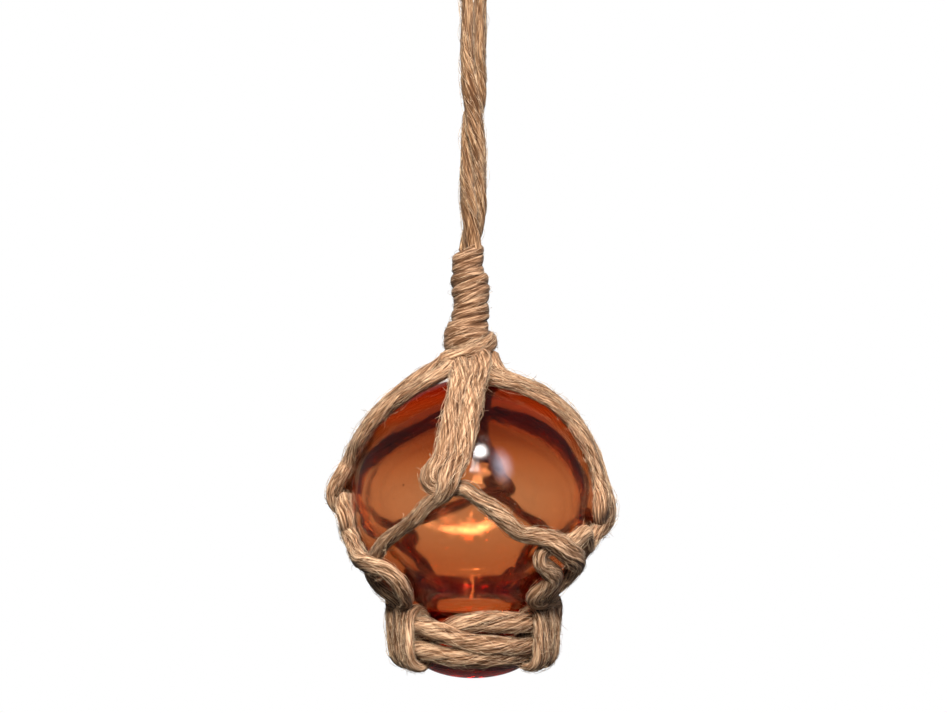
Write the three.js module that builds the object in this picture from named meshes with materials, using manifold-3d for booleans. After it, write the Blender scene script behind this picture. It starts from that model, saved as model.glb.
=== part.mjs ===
// Glass float ball in a knotted jute net, hung from a doubled cord. Millimetres, +Z up.
//
// A blown glass ball with a wide sealed end underneath sits in a net of four cords. Each cord is
// folded in two: the fold hooks up inside a base ring wound round the sealed end, the two strands
// are crossed at a lower knot, part, cross their neighbours at the upper knots and run up in pairs
// to the neck. There a whipping binds the eight ends and the two ends of the hanging cord. The
// origin is where a hook bears inside the hanging loop; everything is laid out from the ball's
// centre, which hangs below it.

import * as THREE from 'three';
import { mergeVertices } from 'three/addons/utils/BufferGeometryUtils.js';
import Module from 'manifold-3d';

const wasm = await Module();
wasm.setup();

// ---- driving dimensions -------------------------------------------------------------------

const BALL_RADIUS = 25.4; // a nominal two-inch float
const KNOB_RADIUS = 12.3; // the sealed end under the ball
const KNOB_BOTTOM = -36.8; // height of the sealed end's lowest point
const KNOB_CROWN = 5.4; // how far the sealed end's bottom bulges
const KNOB_FILLET = 2.5; // hollow between the ball and the sealed end
const GLASS_SEGMENTS = 28;

const GAP = 0.35; // clearance kept between touching pieces
const CORD_DIAMETER = 2.4; // net and ring cord
const CORD_SIDES = 6;
const CORD_PITCH = CORD_DIAMETER + GAP; // two cords lying side by side
const STRAND_OFFSET = CORD_PITCH / 2; // each strand of a pair, from the pair's middle
const ON_GLASS = BALL_RADIUS + GAP + 0.1 + CORD_DIAMETER / 2; // a cord lying on the ball
const OVER_CORD = ON_GLASS + CORD_PITCH; // a cord lying on another cord

const RING_TURNS = 2.75;
const RING_RISE = 2.9; // height of one turn of the base ring
const RING_TOP = -24.4; // height of the ring's first end
const RING_START = 170; // azimuth of the ring's first end
const POINTS_PER_TURN = 11;
const INSIDE_RING = KNOB_RADIUS + GAP + CORD_DIAMETER / 2; // a cord between the ring and the glass
const HOOK_RADIUS = CORD_PITCH + 0.2; // the net cords' bend round the ring's lowest turn
const RING_RADIUS = INSIDE_RING + HOOK_RADIUS + 0.1;

const WHIPPING_BOTTOM = 32.1;
const WHIPPING_TOP = 52.4;
const WHIPPING_YARN = 2.0;
const WHIPPING_SIDES = 5;
const WHIPPING_TURNS = 9;
const WHIPPING_STEPS_PER_TURN = 7;
const WHIPPING_WIDE = 4.9; // outer radius at the bottom
const WHIPPING_NARROW = 3.7; // outer radius at the top
const NECK_RADIUS = 3.6; // the ring of strand ends under the whipping

const HANGING_DIAMETER = 2.8;
const HANGING_SIDES = 8;
const HANGING_STEPS = 44;
const LEG_SPACING = 1.6; // each leg of the doubled cord, from its middle line
const TWIST_TOP = 93; // height where the two legs stop twisting about each other
const QUARTER_TURN = 12.5; // height in which the legs turn by a quarter
const LOOP_START = 104; // height where the legs open into the loop
const LOOP_RADIUS = 6;
const LOOP_TOP = 130; // height of the loop's centre line at its top

// ---- places round the ball ----------------------------------------------------------------
// Azimuth 0 faces -Y and grows towards +X; latitude 0 is the ball's equator. Degrees.

const UPPER_KNOTS = [
  { azimuth: -9, latitude: 7, neck: -4, sway: 0 },
  { azimuth: 86, latitude: -9, neck: 86, sway: 34 },
  { azimuth: 171, latitude: 1, neck: 176, sway: 8 },
  { azimuth: 263, latitude: -2, neck: 266, sway: 4 },
];
const LOWER_KNOTS = [
  { azimuth: 42, latitude: -21 },
  { azimuth: 130, latitude: -26 },
  { azimuth: 220, latitude: -24 },
  { azimuth: 305, latitude: -24 },
];
const RING_HOOKS = [55, 128, 229, 304]; // azimuth where each net cord hooks the base ring

// ---- small helpers ------------------------------------------------------------------------

const rad = THREE.MathUtils.degToRad;
const deg = THREE.MathUtils.radToDeg;
const lerp = THREE.MathUtils.lerp;

/** A point at a distance from the axis, moved sideways by `across`. */
function around(azimuth, radius, height, across = 0) {
  const a = rad(azimuth);
  const x = radius * Math.sin(a) + across * Math.cos(a);
  const y = -radius * Math.cos(a) + across * Math.sin(a);
  return new THREE.Vector3(x, y, height);
}

/** A point at a distance from the ball's centre. */
function overBall(azimuth, latitude, distance) {
  const l = rad(latitude);
  return around(azimuth, distance * Math.cos(l), distance * Math.sin(l));
}

/** A point near a knot: across and up along the ball's surface, at a distance from its centre. */
function nearKnot(knot, [across, up, distance]) {
  const azimuth = knot.azimuth + deg(across / BALL_RADIUS);
  const latitude = knot.latitude + deg(up / BALL_RADIUS);
  return overBall(azimuth, latitude, distance);
}

/** A smooth route whose steps follow its control points, so that knots get short steps. */
class Route extends THREE.CatmullRomCurve3 {
  getUtoTmapping(u) {
    return u;
  }
}

function roundSection(diameter, sides) {
  const shape = new THREE.Shape();
  for (let i = 0; i < sides; i += 1) {
    const a = (2 * Math.PI * i) / sides;
    const x = (diameter / 2) * Math.cos(a);
    const y = (diameter / 2) * Math.sin(a);
    if (i === 0) {
      shape.moveTo(x, y);
    } else {
      shape.lineTo(x, y);
    }
  }
  shape.closePath();
  return shape;
}

function tube(path, steps, diameter, sides) {
  const options = { steps, extrudePath: path, bevelEnabled: false };
  return new THREE.ExtrudeGeometry(roundSection(diameter, sides), options);
}

function toSolid(geometry) {
  const bare = geometry.clone();
  bare.deleteAttribute('normal');
  bare.deleteAttribute('uv');
  const merged = mergeVertices(bare, 1e-4);
  const vertProperties = new Float32Array(merged.attributes.position.array);
  const triVerts = new Uint32Array(merged.index.array);
  return new wasm.Manifold(new wasm.Mesh({ numProp: 3, vertProperties, triVerts }));
}

function fromSolid(solid) {
  const mesh = solid.getMesh();
  const geometry = new THREE.BufferGeometry();
  geometry.setAttribute('position', new THREE.BufferAttribute(mesh.vertProperties, 3));
  geometry.setIndex(new THREE.BufferAttribute(mesh.triVerts, 1));
  geometry.computeVertexNormals();
  return geometry;
}

// ---- glass --------------------------------------------------------------------------------

/** The ball with its sealed end, turned about the axis: ball, fillet, short stem, crowned foot. */
function glassGeometry() {
  const outline = [];
  const reach = BALL_RADIUS + KNOB_FILLET;
  const filletRadius = KNOB_RADIUS + KNOB_FILLET;
  const filletHeight = -Math.sqrt(reach ** 2 - filletRadius ** 2);
  const ballEnd = Math.atan2(filletHeight, filletRadius);
  const footHeight = KNOB_BOTTOM + KNOB_CROWN;

  const footSteps = 6;
  for (let i = 0; i <= footSteps; i += 1) {
    const a = ((i / footSteps) * Math.PI) / 2;
    outline.push(new THREE.Vector2(KNOB_RADIUS * Math.sin(a), footHeight - KNOB_CROWN * Math.cos(a)));
  }
  const filletSteps = 3;
  for (let i = 0; i <= filletSteps; i += 1) {
    const a = lerp(Math.PI, Math.PI + ballEnd, i / filletSteps);
    const x = filletRadius + KNOB_FILLET * Math.cos(a);
    outline.push(new THREE.Vector2(x, filletHeight + KNOB_FILLET * Math.sin(a)));
  }
  const ballSteps = 15;
  for (let i = 1; i <= ballSteps; i += 1) {
    const a = lerp(ballEnd, Math.PI / 2, i / ballSteps);
    const x = i === ballSteps ? 0 : BALL_RADIUS * Math.cos(a);
    outline.push(new THREE.Vector2(x, BALL_RADIUS * Math.sin(a)));
  }
  const turned = new THREE.LatheGeometry(outline, GLASS_SEGMENTS);
  turned.rotateX(Math.PI / 2);
  return turned;
}

// ---- base ring ----------------------------------------------------------------------------

/** Height of the base ring's centre line at an azimuth, on the given turn counted from the top. */
function ringHeight(azimuth, turn) {
  const past = (((azimuth - RING_START) % 360) + 360) % 360;
  return RING_TOP - RING_RISE * (past / 360 + turn);
}

/** Height of the lowest turn that the base ring has at an azimuth. */
function ringLowest(azimuth) {
  const past = ((((azimuth - RING_START) % 360) + 360) % 360) / 360;
  const turn = Math.floor(RING_TURNS - past);
  return ringHeight(azimuth, turn);
}

function ringGeometry() {
  const points = [];
  const steps = Math.round(RING_TURNS * POINTS_PER_TURN);
  for (let i = 0; i <= steps; i += 1) {
    const turned = (RING_TURNS * i) / steps;
    const height = RING_TOP - RING_RISE * turned;
    points.push(around(RING_START + 360 * turned, RING_RADIUS, height));
  }
  return tube(new Route(points), 2 * steps, CORD_DIAMETER, CORD_SIDES);
}

// ---- net ----------------------------------------------------------------------------------

// A pair of strands from the neck to an upper knot, as latitude and distance from the centre.
const LEG_PROFILE = [
  [83.5, 31.7],
  [81.3, 29.9],
  [76.0, 29.0],
  [69.0, 28.5],
  [60.5, 27.9],
  [50.0, 27.3],
  [38.0, ON_GLASS],
];

const KNOT_TOP = 7.4; // where a leg's pair reaches its upper knot, above the knot's middle

// Routes through an upper knot as across, up and distance: the under strand leaves to the
// right, the over strand laps it and curls back to the left.
const UPPER_UNDER = [
  [-STRAND_OFFSET, KNOT_TOP, ON_GLASS],
  [-1.9, 4.6, ON_GLASS + 0.5],
  [-2.9, 2.2, ON_GLASS + 1.2],
  [-2.1, 0.0, ON_GLASS + 0.6],
  [0.3, -1.5, ON_GLASS],
  [3.2, -2.9, ON_GLASS],
];
const UPPER_OVER = [
  [STRAND_OFFSET, KNOT_TOP, ON_GLASS],
  [1.6, 4.6, ON_GLASS + 0.9],
  [1.3, 2.0, ON_GLASS + 2.3],
  [0.9, -0.4, OVER_CORD],
  [0.4, -2.6, OVER_CORD],
  [-0.9, -4.3, ON_GLASS + 1.7],
  [-3.0, -5.2, ON_GLASS + 0.2],
];

// Routes through a lower knot, whose pair leaves downwards.
const LOWER_OVER = [
  [-3.6, 3.3, ON_GLASS],
  [-1.9, 1.7, ON_GLASS + 1.7],
  [0.0, 0.0, OVER_CORD],
  [1.5, -2.0, ON_GLASS + 2.3],
  [STRAND_OFFSET, -4.4, ON_GLASS + 1.0],
];
const LOWER_UNDER = [
  [3.8, 3.3, ON_GLASS],
  [1.9, 1.3, ON_GLASS],
  [0.0, -0.3, ON_GLASS],
  [-1.6, -2.1, ON_GLASS + 0.4],
  [-STRAND_OFFSET, -4.4, ON_GLASS + 1.0],
];

/** The middle line of a pair of strands from the neck to the top of its upper knot. */
function legMiddle(knot) {
  const points = LEG_PROFILE.map(([latitude, distance], i) => {
    const t = i / LEG_PROFILE.length;
    const azimuth = lerp(knot.neck, knot.azimuth, t) + knot.sway * Math.sin(Math.PI * t) ** 3;
    return overBall(azimuth, latitude, distance);
  });
  return [...points, nearKnot(knot, [0, KNOT_TOP, ON_GLASS])];
}

/** One strand of the pair: the middle line moved sideways, square to its run and to the ball. */
function legPoints(knot, side) {
  const middle = legMiddle(knot);
  return middle.slice(0, -1).map((point, i) => {
    if (i < 2) {
      const radius = i === 0 ? NECK_RADIUS : Math.hypot(point.x, point.y);
      return around(knot.neck + (i * knot.sway) / 8, radius, point.z, side * STRAND_OFFSET);
    }
    const run = middle[i + 1].clone().sub(middle[i - 1]);
    const sideways = new THREE.Vector3().crossVectors(point, run).normalize();
    return point.clone().addScaledVector(sideways, side * STRAND_OFFSET);
  });
}

/** Points on the glass between two ends of routes, about 7 mm apart. */
function onGlassBetween(from, to) {
  const points = [];
  const parts = Math.ceil(from.distanceTo(to) / 7);
  for (let i = 1; i < parts; i += 1) {
    points.push(from.clone().lerp(to, i / parts).setLength(ON_GLASS));
  }
  return points;
}

/** One strand from a lower knot down outside the base ring, under it and up to the fold. */
function hookPoints(hook, side) {
  const lowest = ringLowest(hook);
  const across = side * STRAND_OFFSET;
  const outside = RING_RADIUS + HOOK_RADIUS;
  const points = [
    around(hook, outside + 0.5, RING_TOP + 1.0, across),
    around(hook, outside, lowest + 2.4, across),
  ];
  const turnSteps = 4;
  for (let i = 0; i <= turnSteps; i += 1) {
    const a = (Math.PI * i) / turnSteps;
    const radius = RING_RADIUS + HOOK_RADIUS * Math.cos(a);
    points.push(around(hook, radius, lowest - HOOK_RADIUS * Math.sin(a), across));
  }
  points.push(around(hook, INSIDE_RING, lowest + 3.4, across));
  points.push(around(hook, INSIDE_RING, lowest + 5.0, across * 0.72));
  return points;
}

/** One strand from the neck through its upper knot and across the glass through its lower knot. */
function strandPoints(upper, upperRoute, lower, lowerRoute, side) {
  const points = legPoints(upper, side);
  for (const [knot, route] of [[upper, upperRoute], [lower, lowerRoute]]) {
    const places = route.map((place) => nearKnot(knot, place));
    points.push(...onGlassBetween(points.at(-1), places[0]), ...places);
  }
  return points;
}

/** A net cord from the neck down its left strands, round the base ring and up its right strands. */
function netCordPoints(i) {
  const left = UPPER_KNOTS[i];
  const right = UPPER_KNOTS[(i + 1) % UPPER_KNOTS.length];
  const lower = LOWER_KNOTS[i];
  const hook = RING_HOOKS[i];

  const down = strandPoints(left, UPPER_UNDER, lower, LOWER_OVER, -1);
  down.push(...hookPoints(hook, 1));
  const up = strandPoints(right, UPPER_OVER, lower, LOWER_UNDER, 1);
  up.push(...hookPoints(hook, -1));

  const fold = around(hook, INSIDE_RING, ringLowest(hook) + 5.6);
  return [...down, fold, ...up.reverse()];
}

function netCordGeometry(i) {
  const points = netCordPoints(i);
  return tube(new Route(points), 2 * (points.length - 1), CORD_DIAMETER, CORD_SIDES);
}

// ---- whipping -----------------------------------------------------------------------------

/** Outer radius of the whipping at a share of its height, counted from the bottom. */
function whippingRadius(share) {
  return lerp(WHIPPING_WIDE, WHIPPING_NARROW, Math.sqrt(share));
}

/** The yarn wound round the gathered ends, joined to the pressed bundle inside it. */
function whippingGeometry() {
  const half = WHIPPING_YARN / 2;
  const low = WHIPPING_BOTTOM + half;
  const high = WHIPPING_TOP - half;
  const points = [];
  const steps = WHIPPING_TURNS * WHIPPING_STEPS_PER_TURN;
  for (let i = 0; i <= steps; i += 1) {
    const share = i / steps;
    const radius = whippingRadius(share) - half;
    points.push(around(360 * WHIPPING_TURNS * share, radius, lerp(low, high, share)));
  }
  const yarn = tube(new Route(points), steps, WHIPPING_YARN, WHIPPING_SIDES);

  const outline = [new THREE.Vector2(0, WHIPPING_BOTTOM)];
  const coreSteps = 5;
  for (let i = 0; i <= coreSteps; i += 1) {
    const share = i / coreSteps;
    const height = lerp(WHIPPING_BOTTOM, WHIPPING_TOP, share);
    outline.push(new THREE.Vector2(whippingRadius(share) - 0.75 * WHIPPING_YARN, height));
  }
  outline.push(new THREE.Vector2(0, WHIPPING_TOP));
  const core = new THREE.LatheGeometry(outline, 8);
  core.rotateX(Math.PI / 2);
  return fromSolid(toSolid(core).add(toSolid(yarn)));
}

// ---- hanging cord -------------------------------------------------------------------------

/** One leg of the hanging cord, from the whipping up to the side of the loop. */
function hangingLeg(side) {
  const points = [];
  const start = WHIPPING_TOP + 2 * GAP;
  const twistSteps = 12;
  for (let i = 0; i <= twistSteps; i += 1) {
    const height = lerp(start, TWIST_TOP, i / twistSteps);
    const azimuth = side * 90 + (90 * (TWIST_TOP - height)) / QUARTER_TURN;
    points.push(around(azimuth, LEG_SPACING, height));
  }
  points.push(new THREE.Vector3(side * LEG_SPACING, 0, 98.5));
  points.push(new THREE.Vector3(side * LEG_SPACING, 0, LOOP_START));
  points.push(new THREE.Vector3(side * 2.5, 0, 109.5));
  points.push(new THREE.Vector3(side * 4.5, 0, 115.5));
  points.push(new THREE.Vector3(side * 5.8, 0, 121.0));
  return points;
}

/** The whole hanging cord: up one leg, round the loop and down the other. */
function hangingGeometry() {
  const points = hangingLeg(-1);
  for (const turned of [150, 120, 90, 60, 30]) {
    const x = LOOP_RADIUS * Math.cos(rad(turned));
    const z = LOOP_TOP - LOOP_RADIUS + LOOP_RADIUS * Math.sin(rad(turned));
    points.push(new THREE.Vector3(x, 0, z));
  }
  points.push(...hangingLeg(1).reverse());
  const path = new THREE.CatmullRomCurve3(points);
  return tube(path, HANGING_STEPS, HANGING_DIAMETER, HANGING_SIDES);
}

// ---- assembly -----------------------------------------------------------------------------

const glass = new THREE.MeshStandardMaterial({ color: 0xa55f2d, roughness: 0.05, metalness: 0 });
const jute = new THREE.MeshStandardMaterial({ color: 0xb08a5e, roughness: 0.95, metalness: 0 });

const hung = new THREE.Group();
hung.position.z = -(LOOP_TOP - HANGING_DIAMETER / 2);

function addPiece(name, geometry, material) {
  const piece = new THREE.Mesh(geometry, material);
  piece.name = name;
  hung.add(piece);
}

addPiece('glass_float', glassGeometry(), glass);
addPiece('base_ring', ringGeometry(), jute);
for (let i = 0; i < LOWER_KNOTS.length; i += 1) {
  addPiece(`net_cord_${i + 1}`, netCordGeometry(i), jute);
}
addPiece('whipping', whippingGeometry(), jute);
addPiece('hanging_cord', hangingGeometry(), jute);

const group = new THREE.Group();
group.add(hung);

export default group;
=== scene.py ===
"""Small glass float ball in a knotted jute net, hanging from its own doubled cord.

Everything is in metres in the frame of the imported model: +Z is up, and the origin is the
underside of the hanging loop's top. Places on the ball are laid out about its centre, in
millimetres, and are turned into metres when a mesh is made.
"""

import logging
import math
from dataclasses import dataclass, field
from enum import Enum
from typing import Sequence

import bmesh
import bpy
import numpy as np
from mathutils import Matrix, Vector

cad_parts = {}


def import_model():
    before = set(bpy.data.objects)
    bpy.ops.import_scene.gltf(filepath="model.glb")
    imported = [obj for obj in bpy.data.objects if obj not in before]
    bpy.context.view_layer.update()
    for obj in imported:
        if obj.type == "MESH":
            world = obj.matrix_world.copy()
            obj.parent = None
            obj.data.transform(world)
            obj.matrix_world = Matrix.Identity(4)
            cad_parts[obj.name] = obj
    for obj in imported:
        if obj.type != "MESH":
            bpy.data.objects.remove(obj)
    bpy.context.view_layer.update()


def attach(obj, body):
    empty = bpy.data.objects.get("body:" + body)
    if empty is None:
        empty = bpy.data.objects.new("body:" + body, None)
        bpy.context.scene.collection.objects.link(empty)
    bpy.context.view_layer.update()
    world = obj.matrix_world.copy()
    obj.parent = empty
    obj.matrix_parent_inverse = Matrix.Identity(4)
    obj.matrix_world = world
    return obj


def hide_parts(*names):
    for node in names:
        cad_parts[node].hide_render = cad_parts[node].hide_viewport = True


LOG = logging.getLogger("glass_float")
MM = 0.001
BALL_CENTRE = np.array((0.0, 0.0, -0.1286))
BALL_RADIUS = 25.4
FULL_TURN = 2 * math.pi
UP = np.array((0.0, 0.0, 1.0))

Colour = tuple[float, float, float]
Socket = bpy.types.NodeSocket
Value = Socket | Colour | float
Inputs = dict[str | int, Value]


class Slot(Enum):
    """The record's material slots."""

    GLASS = "amber_glass"
    NET = "net_jute"
    WHIPPING = "whipping_jute"
    HANGING = "hanging_jute"


class Side(Enum):
    """The two strands of a doubled cord, by the side they lie on."""

    LEFT = -1
    RIGHT = 1


# ---- places ---------------------------------------------------------------------------------


def around(azimuth: float, radius: float, height: float, across: float = 0.0) -> np.ndarray:
    """A place by its direction round the upright axis.

    Args:
        azimuth: degrees round the axis, 0 towards -Y and growing towards +X.
        radius: distance from the axis in millimetres.
        height: millimetres above the ball's centre.
        across: millimetres moved sideways, square to the direction.

    Returns:
        The place about the ball's centre, in millimetres.
    """
    a = math.radians(azimuth)
    x = radius * math.sin(a) + across * math.cos(a)
    y = -radius * math.cos(a) + across * math.sin(a)
    return np.array((x, y, height))


def over_ball(azimuth: float, latitude: float, distance: float) -> np.ndarray:
    """A place by its direction from the ball's centre.

    Args:
        azimuth: degrees round the upright axis.
        latitude: degrees above the ball's equator.
        distance: millimetres from the ball's centre.

    Returns:
        The place about the ball's centre, in millimetres.
    """
    rise = math.radians(latitude)
    return around(azimuth, distance * math.cos(rise), distance * math.sin(rise))


def unit(v: np.ndarray) -> np.ndarray:
    """The direction of v, or of each row of v."""
    return v / np.maximum(np.linalg.norm(v, axis=-1, keepdims=True), 1e-9)


def smooth(share: np.ndarray) -> np.ndarray:
    """Eases a share from 0 to 1."""
    return share * share * (3.0 - 2.0 * share)


def to_row(points: np.ndarray) -> np.ndarray:
    """Places about the ball's centre in millimetres, as row-frame metres."""
    return np.asarray(points) * MM + BALL_CENTRE


# ---- finishes -------------------------------------------------------------------------------


class NodeBench:
    """Short ways to add and join the nodes of one material or lamp."""

    def __init__(self, owner: bpy.types.ID, output: str = "ShaderNodeOutputMaterial") -> None:
        """Clears the owner's nodes.

        Args:
            owner: the material or lamp.
            output: the type name of its output node.
        """
        owner.use_nodes = True
        self.owner = owner
        self.tree = owner.node_tree
        self.tree.nodes.clear()
        self.output = self.tree.nodes.new(output)

    def add(self, kind: str, inputs: Inputs | None = None, **settings: str) -> bpy.types.Node:
        """Adds a node.

        Args:
            kind: the node's type name.
            inputs: sockets to join and plain values to set, by input.
            **settings: attributes to set on it.

        Returns:
            The node.
        """
        node = self.tree.nodes.new(kind)
        for name, value in settings.items():
            setattr(node, name, value)
        for name, value in (inputs or {}).items():
            self.put(node, name, value)
        return node

    def put(self, node: bpy.types.Node, name: str | int, value: Value) -> None:
        """Joins a socket to an input, or sets the input's plain value.

        Args:
            node: the node.
            name: its input.
            value: an output to join, a number, or a row of numbers.
        """
        target = node.inputs[name]
        if isinstance(value, Socket):
            self.tree.links.new(value, target)
        elif target.type == "RGBA":
            target.default_value = (*value, 1.0)
        else:
            target.default_value = value

    def read(self, name: str, output: str = "Vector") -> Socket:
        """Reads one of the mesh's own per-vertex values."""
        return self.add("ShaderNodeAttribute", attribute_name=name).outputs[output]

    def place(self) -> Socket:
        """Reads the place in the object's own frame."""
        return self.add("ShaderNodeTexCoord").outputs["Object"]

    def noise(self, place: Socket, scale: float, detail: float, roughness: float = 0.5) -> Socket:
        """Adds a noise texture.

        Args:
            place: the coordinates it reads.
            scale: its scale in features per metre.
            detail: its octaves.
            roughness: how strong the finer octaves are.

        Returns:
            Its value, about 0.5 in the middle.
        """
        inputs = {"Vector": place, "Scale": scale, "Detail": detail, "Roughness": roughness}
        return self.add("ShaderNodeTexNoise", inputs).outputs["Fac"]

    def ramp(self, value: Socket, stops: Sequence[tuple[float, Colour]]) -> Socket:
        """Adds a colour ramp.

        Args:
            value: what it reads.
            stops: places from 0 to 1 with their colours.

        Returns:
            Its colour.
        """
        node = self.add("ShaderNodeValToRGB", {"Fac": value})
        node.color_ramp.interpolation = "B_SPLINE" if len(stops) > 3 else "LINEAR"
        elements = node.color_ramp.elements
        while len(elements) < len(stops):
            elements.new(0.5)
        for element, (place, colour) in zip(elements, stops):
            element.position = place
            element.color = (*colour, 1.0)
        return node.outputs["Color"]

    def spread(
        self, value: Socket, low: float, high: float, to_low: float, to_high: float, **settings: str
    ) -> Socket:
        """Maps a value from one range to another, held at its ends.

        Args:
            value: what it reads.
            low: the value that becomes to_low.
            high: the value that becomes to_high.
            to_low: the lower result.
            to_high: the upper result.
            **settings: attributes to set on the node.

        Returns:
            The mapped value.
        """
        inputs = {"From Min": low, "From Max": high, "To Min": to_low, "To Max": to_high}
        return self.add("ShaderNodeMapRange", {"Value": value, **inputs}, **settings).outputs["Result"]

    def mix(self, share: Socket, first: Socket, second: Value, blend: str = "MIX") -> Socket:
        """Mixes two colours.

        Args:
            share: how much of the second.
            first: a colour.
            second: a colour, joined or plain.
            blend: the mixing mode.

        Returns:
            The mixed colour.
        """
        node = self.add("ShaderNodeMix", data_type="RGBA", blend_type=blend)
        for name, value in (("Factor", share), ("A", first), ("B", second)):
            self.put(node, name, value)
        return node.outputs["Result"]

    def work(self, operation: str, *values: Value) -> Socket:
        """Works out one sum with the values, in their order."""
        return self.add("ShaderNodeMath", dict(enumerate(values)), operation=operation).outputs[0]

    def bump(self, height: Socket, strength: float, distance: float) -> Socket:
        """Turns a height into fine relief.

        Args:
            height: what it reads.
            strength: from 0 to 1.
            distance: the relief's depth in metres.

        Returns:
            The bent normal.
        """
        inputs = {"Height": height, "Strength": strength, "Distance": distance}
        return self.add("ShaderNodeBump", inputs).outputs["Normal"]

    def shade(self, shader: str, inputs: Inputs, target: str = "Surface") -> bpy.types.ID:
        """Adds a shader and makes it the owner's own.

        Args:
            shader: the shader node's type name.
            inputs: sockets to join and plain values to set, by input.
            target: the output's input that it feeds.

        Returns:
            The owner, a material or a lamp.
        """
        self.put(self.output, target, self.add(shader, inputs).outputs[0])
        return self.owner


def new_bench(name: str) -> NodeBench:
    """Starts an empty material of that name."""
    return NodeBench(bpy.data.materials.new(name))


@dataclass(frozen=True)
class JuteFinish:
    """Soft jute cord: fibres along the lay, with painted shade darkening the grooves, dull with a faint
    sheen.
    """

    name: str
    shade: Colour = (0.085, 0.036, 0.014)
    middle: Colour = (0.330, 0.180, 0.095)
    light: Colour = (0.74, 0.500, 0.315)
    groove_shade: Colour = (0.20, 0.115, 0.065)
    patch: Colour = (0.60, 0.44, 0.31)
    sheen: Colour = (1.0, 0.86, 0.70)
    fibre_per_metre: float = 3100.0
    patch_per_metre: float = 130.0
    stretch: float = 0.065
    relief: float = 0.00007

    def _drawn(self, bench: NodeBench, name: str) -> Socket:
        """One of the mesh's fibre coordinates, drawn out along the fibres."""
        inputs = {"Vector": bench.read(name), "Scale": (1.0, 1.0, self.stretch)}
        return bench.add("ShaderNodeMapping", inputs).outputs["Vector"]

    def make(self) -> bpy.types.Material:
        """Builds the material. It reads the mesh's own lay coordinates and its mask of painted shade in the
        grooves.
        """
        bench = new_bench(self.name)
        along = self._drawn(bench, "lay")
        fibres = bench.noise(along, self.fibre_per_metre, 3.0, 0.62)
        yarns = bench.noise(along, self.fibre_per_metre * 0.27, 2.0)
        strays = bench.noise(self._drawn(bench, "cross"), self.fibre_per_metre * 0.8, 2.0, 0.55)
        patches = bench.noise(bench.read("lay"), self.patch_per_metre, 2.0)

        tone = bench.spread(fibres, 0.34, 0.66, 0.0, 1.0)
        tone = bench.work("MULTIPLY_ADD", bench.spread(yarns, 0.32, 0.68, -0.5, 0.5), 0.40, tone)
        tone = bench.work("MULTIPLY_ADD", bench.spread(strays, 0.36, 0.64, -0.5, 0.5), 0.42, tone)
        colour = bench.ramp(tone, [(0.08, self.shade), (0.54, self.middle), (1.0, self.light)])
        patchy = bench.spread(patches, 0.35, 0.7, 0.0, 0.35)
        colour = bench.mix(patchy, colour, self.patch, "MULTIPLY")
        # Painted shade: the groove mask darkens the colour in the cord's grooves and dips.
        groove_shading = bench.spread(bench.read("groove_shade", "Fac"), 0.0, 0.8, 0.0, 0.95)
        colour = bench.mix(groove_shading, colour, self.groove_shade, "MULTIPLY")
        cloth = {
            "Base Color": colour,
            "Roughness": bench.spread(fibres, 0.3, 0.7, 0.85, 0.5),
            "Normal": bench.bump(tone, 0.9, self.relief),
            "Sheen Weight": 0.18,
            "Sheen Roughness": 0.45,
            "Sheen Tint": self.sheen,
            "Specular IOR Level": 0.35,
        }
        return bench.shade("ShaderNodeBsdfPrincipled", cloth)


@dataclass(frozen=True)
class HairFinish:
    """Loose fibres that stand off the cords."""

    name: str = "loose_fibres"
    dark: Colour = (0.22, 0.12, 0.06)
    pale: Colour = (0.78, 0.58, 0.38)
    tones_per_metre: float = 900.0
    relief: float = 0.00003

    def make(self) -> bpy.types.Material:
        """Builds the material, each fibre with its own tone."""
        bench = new_bench(self.name)
        tone = bench.noise(bench.place(), self.tones_per_metre, 1.0)
        hair = {
            "Base Color": bench.ramp(tone, [(0.3, self.dark), (0.7, self.pale)]),
            "Roughness": bench.spread(tone, 0.3, 0.7, 0.7, 0.5),
            "Normal": bench.bump(tone, 0.3, self.relief),
            "Specular IOR Level": 0.4,
        }
        return bench.shade("ShaderNodeBsdfPrincipled", hair)


@dataclass(frozen=True)
class AmberGlass:
    """Clear amber glass, coloured through its thickness, with a faint fire-polished wave."""

    name: str = "amber_glass"
    ior: float = 1.5
    tint: Colour = (0.97, 0.885, 0.80)
    body: Colour = (0.93, 0.52, 0.12)
    density: float = 330.0
    waves_per_metre: float = 160.0
    smears_per_metre: float = 420.0
    relief: float = 0.0003

    def make(self) -> bpy.types.Material:
        """Builds the material."""
        bench = new_bench(self.name)
        place = bench.place()
        smear = bench.noise(place, self.smears_per_metre, 3.0)
        glass = {
            "Base Color": self.tint,
            "Roughness": bench.spread(smear, 0.4, 0.8, 0.03, 0.16),
            "Normal": bench.bump(bench.noise(place, self.waves_per_metre, 1.5), 0.10, self.relief),
            "Transmission Weight": 1.0,
            "IOR": self.ior,
        }
        bench.shade("ShaderNodeBsdfPrincipled", glass)
        inside = {"Color": self.body, "Density": self.density}
        return bench.shade("ShaderNodeVolumeAbsorption", inside, "Volume")


# ---- cords ----------------------------------------------------------------------------------

RING_STEP = 0.45
CURVE_PARTS = 24
CORD_APART = 40.0


@dataclass
class Stop:
    """One place that a cord is led through."""

    place: np.ndarray
    outward: np.ndarray
    wide: float
    thick: float


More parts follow.
